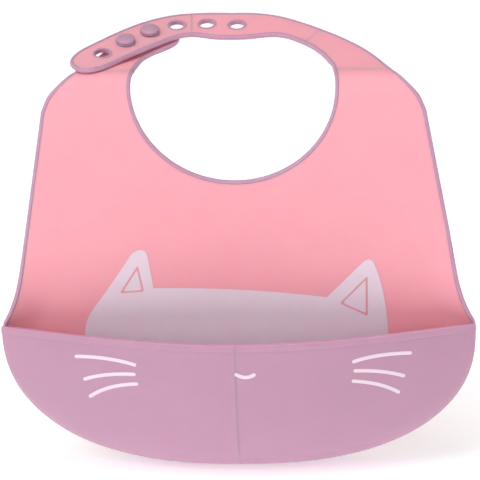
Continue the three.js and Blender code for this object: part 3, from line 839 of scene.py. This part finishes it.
@dataclass
class PrintedFace:
    """The printed cat: a head on the chest sheet, whiskers and a smile on the pocket."""

    pocket: CatchPocket
    film: float = 0.14
    whisker_half: float = 0.95
    head_low_z: float = -100.0
    ear_line: float = 1.0
    ears: Marks = field(default_factory=lambda: {
        "left": ((-50, -45.2), (-47.6, -57.6), (-58.4, -58.3)),
        "right": ((63.9, -51.4), (63.6, -71), (51, -64.7)),
    })
    whiskers: dict[str, tuple[Line, ...]] = field(default_factory=lambda: {
        "left": (((-80.7, -82.6), (-63.3, -80.5), (-49.3, -84.2)),
                 ((-76.7, -94.7), (-65.6, -89.4), (-49.7, -89.1)),
                 ((-74.2, -104.2), (-64.3, -95.5), (-48.7, -94.2))),
        "right": (((86.7, -82.5), (69.1, -80.3), (57.2, -83.9)),
                  ((83.0, -94.6), (72.5, -89.5), (57.7, -88.5)),
                  ((80.2, -103.5), (71.6, -96.2), (56.7, -93.9))),
    })
    smile: Line = ((-0.4, -86.5), (4.8, -90.7), (9.9, -86.8))

    def curve(self, points: Sequence[tuple[float, float]], steps: int) -> list[Vector]:
        """A Bezier curve of three or four points, as steps + 1 places."""
        def at(t: float) -> Vector:
            """The curve's place at t."""
            level = [Vector(p) for p in points]
            while len(level) > 1:
                level = [a.lerp(b, t) for a, b in zip(level, level[1:])]
            return level[0]
        return [at(i / steps) for i in range(steps + 1)]

    def shrunk(self, ear: Line, inset: float) -> list[Vector]:
        """An ear's triangle, drawn in evenly, or out by a negative inset."""
        a, b, c = (Vector(p) for p in ear)
        sides = ((b - a).length, (c - b).length, (a - c).length)
        area = abs((b - a).cross(c - a)) / 2
        centre = (a * sides[1] + b * sides[2] + c * sides[0]) / sum(sides)
        scale = 1 - inset * sum(sides) / (2 * area)
        return [centre + (corner - centre) * scale for corner in (a, b, c)]

    def softened(self, corners: Sequence[Vector], rounding: float = 1.4) -> list[Vector]:
        """A polygon with its corners rounded."""
        profile = rounded_profile([(p.x, p.y, rounding) for p in corners], steps=4, closed=True)
        return [Vector(p) for p in profile]

    def head_outline(self) -> list[Vector]:
        """The head's outline, from its lower right corner up over both ears to the lower left one."""
        curves = (
            (((74.0, -80.0), (74.0, -69.0), (71.5, -54.5), (68.7, -46.3)), 16),
            (((68.7, -46.3), (67.0, -41.0), (65.0, -40.6), (62.3, -43.1)), 8),
            (((43.9, -61.6), (4.0, -56.0), (-42.4, -56.2)), 30),
            (((-42.4, -56.2), (-43.4, -47.5), (-44.9, -38.8)), 8),
            (((-44.9, -38.8), (-45.6, -35.2), (-50.2, -34.9), (-53.0, -38.6)), 8),
            (((-66.5, -58.5), (-73.0, -67.5), (-77.2, -71.0), (-77.4, -81.0)), 14),
        )
        outline = [Vector((74.0, self.head_low_z))]
        for points, steps in curves:
            places = self.curve(points, steps)
            joined = (places[0] - outline[-1]).length < SAME_PLACE
            outline += places[1:] if joined else places
        return [*outline, Vector((-77.4, self.head_low_z))]

    def film_piece(self, name: str, loops: Sequence[Sequence[Vector]]) -> bpy.types.Object:
        """A flat film of ink on the chest sheet, filled between closed loops."""
        bm = bmesh.new()
        edges = []
        for loop in loops:
            verts = [bm.verts.new(placed(p.x, 0.0, p.y)) for p in loop]
            edges += [bm.edges.new((a, b)) for a, b in zip(verts, verts[1:] + verts[:1])]
        bmesh.ops.triangle_fill(bm, edges=edges, use_beauty=True, use_dissolve=False)
        raised = bmesh.ops.extrude_face_region(bm, geom=list(bm.faces))
        front = [item for item in raised["geom"] if isinstance(item, bmesh.types.BMVert)]
        bmesh.ops.translate(bm, verts=front, vec=Vector((0, -self.film * MM, 0)))
        return finished(name, bm)

    def stroke(self, name: str, points: Sequence[tuple[float, float]], along: int) -> bpy.types.Object:
        """A brush stroke of ink that follows the pocket's wall, with round ends."""
        places = self.curve(points, along)

        def place(u: float, v: float) -> Vector:
            """The stroke's flat oval section at u."""
            i = round(u * along)
            ahead, behind = places[min(i + 1, along)], places[max(i - 1, 0)]
            heading = (ahead - behind).normalized()
            gone = (places[i] - places[0]).length
            left = (places[-1] - places[i]).length
            end = clamp(min(gone, left) / self.whisker_half, 0.0, 1.0)
            half = self.whisker_half * math.sqrt(max(1 - (1 - end) ** 2, 0.0)) + 0.02
            turn = 2 * math.pi * v
            spot = places[i] + Vector((-heading.y, heading.x)) * half * math.cos(turn)
            point, outward = POCKET.on_wall(spot.x, spot.y)
            return placed(*(point + outward * (self.film * math.sin(turn))))

        return lofted(name, 12, along, place)

    def build(self) -> None:
        """Builds and dresses the printed face."""
        holes = [self.softened(self.shrunk(ear, -self.ear_line / 2)) for ear in self.ears.values()]
        head = dress(self.film_piece("cat_head", [self.head_outline(), *holes]), Finish.INK, "head_print")
        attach(head, "bib")
        for word, side in self.pocket.sides:
            inner = self.softened(self.shrunk(self.ears[word], self.ear_line / 2))
            piece = dress(self.film_piece(f"inner_ear_{word}", [inner]), Finish.INK, f"ear_print_{word}")
            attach(piece, "bib")
            for i, whisker in enumerate(self.whiskers[word], start=1):
                mark = self.stroke(f"cat_whisker_{word}_{i}", whisker, 60)
                dress(mark, Finish.INK, f"whisker_{word}_{i}")
                self.pocket.bend(mark, side)
        smile = dress(self.stroke("cat_smile", self.smile, 40), Finish.INK, "smile_print")
        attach(smile, "pocket_front")


@dataclass
class NeckLoop:
    """The two straps that close the neck, with their beads, rings and knobs."""

    cell_side: int = 16
    rings: tuple[str, ...] = (
        "ring_hole_5", "ring_hole_4", "ring_hole_3", "ring_knob_2", "ring_knob_1", "ring_hole_1",
    )

    def hole_at(self, name: str) -> float:
        """How far along the hole strap a named ring lies."""
        return FIRST_HOLE + HOLE_PITCH * self.rings.index(name)

    def plain(self, bm: bmesh.types.BMesh, strap: StrapForm, start: float, end: float) -> None:
        """Adds a plain stretch of a strap's flat pattern, as (distance, offset)."""
        inset = SHEET.bead_width / 2
        along = max(2, round((end - start) / 1.6))

        def place(u: float, v: float) -> Vector:
            """The pattern's place at u along and v across."""
            distance = lerp(start, end, u)
            return Vector((distance, lerp(-1, 1, v) * (strap.half(distance) - inset), 0)) * MM

        laid_grid(bm, self.cell_side, along, place)

    def cell(self, bm: bmesh.types.BMesh, strap: StrapForm, start: float, end: float,
             hole: float, radius: float, tip: bool = False) -> None:
        """Adds a stretch of the flat pattern round one hole.

        Args:
            bm: the flat pattern.
            strap: the strap.
            start: where the stretch starts, along the strap.
            end: where it ends.
            hole: the hole's centre, along the strap.
            radius: the hole's radius; 0 for none.
            tip: whether the stretch is the rounded tip.
        """
        inset = SHEET.bead_width / 2
        count = self.cell_side

        def border(s: float) -> Vector:
            """The stretch's border, once round, starting and ending on its first line."""
            side, share = divmod(s * 4, 1)
            if side >= 3 or s >= 1:
                share = 1.0 if s >= 1 else share
                reach = strap.half(start) - inset
                return Vector((start, lerp(reach, -reach, share)))
            if tip:
                return Vector(strap.rim(s / 0.75, start, inset))
            if side == 1:
                reach = strap.half(end) - inset
                return Vector((end, lerp(-reach, reach, share)))
            distance = lerp(start, end, share) if side == 0 else lerp(end, start, share)
            reach = strap.half(distance) - inset
            return Vector((distance, -reach if side == 0 else reach))

        def place(u: float, v: float) -> Vector:
            """The pattern's place at u round the hole and v out from it."""
            centre = Vector((hole, 0.0))
            edge = border(round(u * 4 * count) / (4 * count))
            rim = centre + (edge - centre).normalized() * radius
            spot = rim.lerp(edge, v ** 1.3)
            return Vector((spot.x, spot.y, 0)) * MM

        laid_grid(bm, 6, 4 * count, place)

    def moulded(self, name: str, strap: StrapForm, bm: bmesh.types.BMesh) -> bpy.types.Object:
        """Thickens a flat pattern and lays it along the strap's own form."""
        bmesh.ops.remove_doubles(bm, verts=bm.verts, dist=1e-5)
        lowered = bmesh.ops.extrude_face_region(bm, geom=list(bm.faces))
        under = [item for item in lowered["geom"] if isinstance(item, bmesh.types.BMVert)]
        bmesh.ops.translate(bm, verts=under, vec=Vector((0, 0, -SHEET.thickness * MM)))
        for vert in bm.verts:
            flat = vert.co / MM
            vert.co = strap.point(flat.x, flat.y, -flat.z)
        return finished(name, bm)

    def edges(self, name: str, strap: StrapForm, start: float, end: float | None) -> bpy.types.Object:
        """The beads of a stretch: two straight ones, or one round the tip where end is None."""
        inset = SHEET.bead_width / 2
        height = SHEET.bead_height / 2
        bm = bmesh.new()
        if end is None:
            tube(bm, lambda u: strap.point(*strap.rim(u, start, inset), SHEET.thickness / 2),
                 lambda u: STRAP_DOWN, 200, inset, height)
            return finished(name, bm)
        for side in (-1, 1):
            def centre(u: float, side: int = side) -> Vector:
                """The middle line of one edge's bead."""
                distance = lerp(start, end, u)
                return strap.point(distance, side * (strap.half(distance) - inset), SHEET.thickness / 2)
            tube(bm, centre, lambda u: STRAP_DOWN, max(8, round((end - start) / 1.2)), inset, height)
        return finished(name, bm)

    def on_strap(self, piece: bpy.types.Object, strap: StrapForm, distance: float, depth: float) -> None:
        """Tilts a round piece to a strap and sets it there, in its mesh."""
        spot = strap.point(distance, 0.0, depth)
        tilt = Vector((0, 0, 1)).rotation_difference(-STRAP_DOWN).to_matrix().to_4x4()
        tilt.translation = spot
        piece.data.transform(tilt)

    def ring(self, name: str) -> bpy.types.Object:
        """The lilac ring that lines one of the strap's holes."""
        half = SHEET.bead_height / 2
        corners = [(BORE_RADIUS, -half, 0.5), (RING_RADIUS, -half, 0.6), (RING_RADIUS, half, 0.6),
                   (BORE_RADIUS, half, 0.5)]
        profile = rounded_profile(corners, steps=5, closed=True)
        piece = finished(f"lined_{name}", turned(name, profile, 56, True))
        self.on_strap(piece, HOLE_STRAP, self.hole_at(name), SHEET.thickness / 2)
        return piece

    def knob(self, name: str, ring: str) -> bpy.types.Object:
        """A mushroom knob that stands on the knob strap and comes up through its ring."""
        distance = self.hole_at(ring)
        plan = HOLE_STRAP.line.along(distance)
        spread = (HOLE_STRAP.lift(plan.x, plan.y) - KNOB_STRAP.lift(plan.x, plan.y)) * math.cos(STRAP_TILT)
        head = spread + 0.6
        corners = [
            (0.0, -0.3, 0), (4.7, -0.3, 0.2), (4.5, 0.45, 0.3), (3.0, 0.75, 0.5), (3.0, head, 0.3),
            (4.6, head, 0.4), (4.8, head + 0.9, 0.5), (4.7, head + 1.8, 0.7), (2.6, head + 2.7, 1.1),
            (0.0, head + 2.7, 0),
        ]
        piece = finished(f"button_{name}", turned(name, rounded_profile(corners, steps=6), 56, False))
        self.on_strap(piece, HOLE_STRAP, distance, spread)
        return piece

    def bend(self, pieces: Sequence[bpy.types.Object], strap: StrapForm, still: str, moving: str,
             zone: tuple[float, float]) -> None:
        """Bakes each piece's transform into its mesh."""
        start, end = (strap.point(distance, 0.0) for distance in zone)
        for piece in pieces:
            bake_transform(piece)
            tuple(start)
            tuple(end)

    def hole_strap(self) -> None:
        """Builds the hole strap in three stretches: shoulder, middle and tip."""
        shoulder, middle, tip = bmesh.new(), bmesh.new(), bmesh.new()
        holes = [self.hole_at(name) for name in self.rings]
        half = HOLE_PITCH / 2
        self.plain(shoulder, HOLE_STRAP, 0.0, SHOULDER_BREAK)
        self.plain(middle, HOLE_STRAP, SHOULDER_BREAK, holes[0] - half)
        for pattern, hole in zip((middle, middle, tip, tip, tip), holes):
            self.cell(pattern, HOLE_STRAP, hole - half, hole + half, hole, HOLE_RADIUS)
        self.cell(tip, HOLE_STRAP, holes[-1] - half, HOLE_STRAP.length, holes[-1], HOLE_RADIUS, tip=True)
        stretches = (
            ("shoulder", shoulder, 0.0, SHOULDER_BREAK, "strap_shoulder",
             "bib", "shoulder_link", SHOULDER_BEND),
            ("middle", middle, SHOULDER_BREAK, HOLES_BREAK, "strap_holes",
             "shoulder_link", "hole_link", LIFT_BEND),
            ("tip", tip, HOLES_BREAK, None, "strap_tip", "hole_link", "tip_link", TIP_BEND),
        )
        for word, pattern, start, end, node, still, moving, zone in stretches:
            beads = (f"{node}_bead_rim",) if end is None else (f"{node}_bead_inner", f"{node}_bead_outer")
            sheet = dress(self.moulded(f"hole_strap_{word}", HOLE_STRAP, pattern), Finish.PINK, node)
            edge = dress(self.edges(f"hole_strap_{word}_beads", HOLE_STRAP, start, end), Finish.LILAC, *beads)
            self.bend((sheet, edge), HOLE_STRAP, still, moving, zone)

    def knob_strap(self) -> None:
        """Builds the knob strap, which runs from the left shoulder."""
        start = KNOB_STRAP.length - 24.0
        pattern = bmesh.new()
        self.plain(pattern, KNOB_STRAP, 0.0, start)
        self.cell(pattern, KNOB_STRAP, start, KNOB_STRAP.length, start + 10.0, 0.0, tip=True)
        sheet = dress(self.moulded("button_strap", KNOB_STRAP, pattern), Finish.PINK, "knob_strap")
        rim = self.edges("button_strap_bead", KNOB_STRAP, 0.0, None)
        edge = dress(rim, Finish.LILAC, "knob_strap_bead_rim")
        self.bend((sheet, edge), KNOB_STRAP, "bib", "knob_link", SHOULDER_BEND)

    def build(self) -> None:
        """Builds and dresses both straps, the rings and the knobs."""
        self.hole_strap()
        self.knob_strap()
        for name in self.rings:
            ring = dress(self.ring(name), Finish.LILAC, name)
            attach(ring, "hole_link" if self.rings.index(name) < 3 else "tip_link")
        for name, ring in (("knob_1", "ring_knob_1"), ("knob_2", "ring_knob_2")):
            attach(dress(self.knob(name, ring), Finish.LILAC, name), "knob_link")


@dataclass
class Studio:
    """A plain pale floor, soft lights and the camera."""

    azimuth: float = 4.0
    elevation: float = 20.0
    roll: float = 1.75
    distance: float = 3.0
    frame_width: float = 0.2379
    sky: float = 0.38
    floor_glow: float = 0.4

    def floor(self) -> None:
        """A large pale floor under the bib's lowest point."""
        low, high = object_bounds()
        bm = bmesh.new()
        bmesh.ops.create_grid(bm, x_segments=1, y_segments=1, size=6.0)
        bmesh.ops.translate(bm, verts=bm.verts, vec=Vector((0, 0, low.z - 0.0004)))
        floor = finished("floor", bm, smooth=False)
        material = bpy.data.materials.new("white paper sweep")
        material.use_nodes = True
        shader = material.node_tree.nodes["Principled BSDF"]
        shader.inputs["Base Color"].default_value = linear("#f7f7f7")
        shader.inputs["Roughness"].default_value = 0.9
        shader.inputs["Emission Color"].default_value = (1.0, 1.0, 1.0, 1.0)
        shader.inputs["Emission Strength"].default_value = self.floor_glow
        floor.data.materials.append(material)
        floor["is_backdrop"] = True

    def light(self, name: str, place: tuple[float, float, float], size: float, power: float,
              target: Vector) -> None:
        """Adds one soft square light that faces the bib."""
        lamp = bpy.data.lights.new(name, "AREA")
        lamp.size = size
        lamp.energy = power
        holder = bpy.data.objects.new(name, lamp)
        holder.location = place
        holder.rotation_euler = (target - holder.location).to_track_quat("-Z", "Y").to_euler()
        bpy.context.collection.objects.link(holder)

    def camera(self, target: Vector) -> None:
        """A long-lens camera at the studio's viewing angle."""
        data = bpy.data.cameras.new("camera")
        data.sensor_width = 36.0
        data.lens = data.sensor_width * self.distance / self.frame_width
        data.clip_end = 20.0
        camera = bpy.data.objects.new("camera", data)
        a, e = math.radians(self.azimuth), math.radians(self.elevation)
        back = Vector((math.sin(a) * math.cos(e), -math.cos(a) * math.cos(e), math.sin(e)))
        camera.location = target + back * self.distance
        turn = (-back).to_track_quat("-Z", "Y").to_euler()
        camera.rotation_euler = turn
        camera.rotation_euler.rotate_axis("Z", math.radians(-self.roll))
        bpy.context.collection.objects.link(camera)
        bpy.context.scene.camera = camera

    def build(self) -> None:
        """Sets up the floor, lights, surroundings and camera."""
        self.floor()
        aim = placed(0.0, 20.0, -50.0)
        self.light("key", (-1.7, -1.7, 1.8), 1.5, 24, aim)
        self.light("fill", (0.3, -2.3, 1.0), 1.6, 14, aim)
        self.light("top", (-0.4, -0.6, 2.5), 1.4, 22, aim)
        self.surroundings()
        bpy.context.scene.view_settings.view_transform = "Standard"
        self.camera(placed(1.5, 0.0, -31.0))

    def surroundings(self) -> None:
        """White paper all round, which lights the bib less than it shows."""
        world = bpy.data.worlds.new("white studio")
        world.use_nodes = True
        tree = world.node_tree
        tree.nodes.clear()
        seen = add_node(tree, "ShaderNodeBackground", Color=(1.0, 1.0, 1.0, 1.0), Strength=1.0)
        light = add_node(tree, "ShaderNodeBackground", Color=(1.0, 0.99, 0.99, 1.0), Strength=self.sky)
        path = add_node(tree, "ShaderNodeLightPath")
        mix = add_node(tree, "ShaderNodeMixShader", Fac=path.outputs["Is Camera Ray"])
        tree.links.new(light.outputs["Background"], mix.inputs[1])
        tree.links.new(seen.outputs["Background"], mix.inputs[2])
        add_node(tree, "ShaderNodeOutputWorld", Surface=mix.outputs["Shader"])
        bpy.context.scene.world = world


def main() -> None:
    """Builds the bib and its studio."""
    logging.basicConfig(level=logging.INFO, format="%(name)s: %(message)s")
    pocket = CatchPocket()
    ChestSheet().build()
    pocket.build()
    PrintedFace(pocket).build()
    NeckLoop().build()
    Studio().build()


if __name__ == "__main__":
    main()
